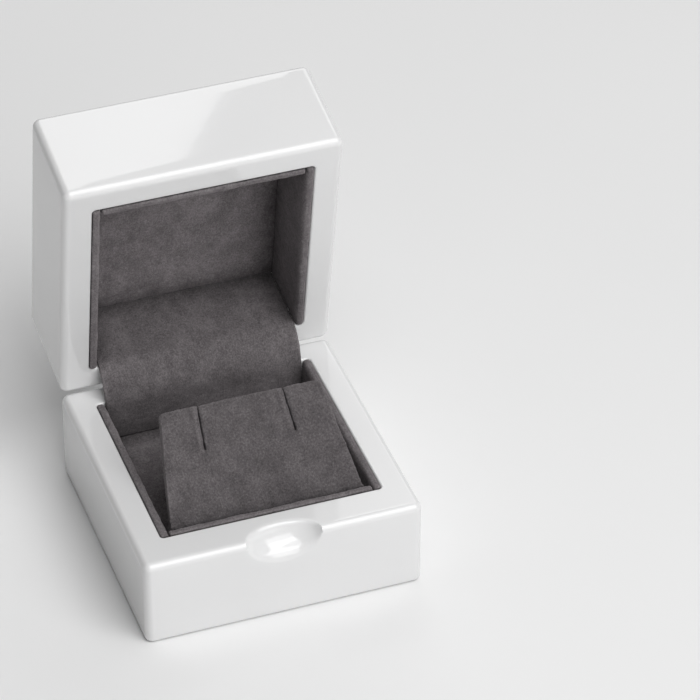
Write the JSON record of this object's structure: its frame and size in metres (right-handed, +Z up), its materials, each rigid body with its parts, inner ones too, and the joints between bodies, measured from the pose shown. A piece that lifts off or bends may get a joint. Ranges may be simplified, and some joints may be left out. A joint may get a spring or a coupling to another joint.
{
  "type": "jewelry gift box",
  "caption": "Square lacquered earring box with a hipped lid on a small hinge, velvet linings and a leaning earring pad, standing open.",
  "frame": {"origin": "middle of the flat underside of the base", "axes": "+X to the right as seen from the thumb-scoop side, +Y towards the hinge at the back, +Z up"},
  "size_m": [0.06, 0.0828, 0.0837],
  "materials": {
    "lacquer": "white high-gloss lacquer on wood board",
    "velvet": "short-pile grey velvet over card",
    "card": "uncoated grey board",
    "brass": "bright plated sheet",
    "steel": "bright screw"
  },
  "bodies": {
    "base": {"base_shell": "lacquer", "base_lining_front": "velvet", "base_lining_left": "velvet", "base_lining_right": "velvet", "base_floor_pad": "velvet", "hinge_cover_base": "velvet", "earring_pad": "velvet", "pad_strut": "card", "hinge_base_leaf": "brass", "hinge_pin": "brass", "base_screw_left": "steel", "base_screw_right": "steel"},
    "lid": {"lid_shell": "lacquer", "lid_lining_front": "velvet", "lid_lining_left": "velvet", "lid_lining_right": "velvet", "lid_ceiling_pad": "velvet", "hinge_cover_lid": "velvet", "hinge_lid_leaf": "brass", "lid_screw_left": "steel", "lid_screw_right": "steel"}
  },
  "joints": [
    {"name": "lid_hinge", "type": "hinge", "parent": "base", "child": "lid", "pos_m": [0, 0.0293, 0.0216], "axis": [1, 0, 0], "range_deg": [0, 80]}
  ]
}
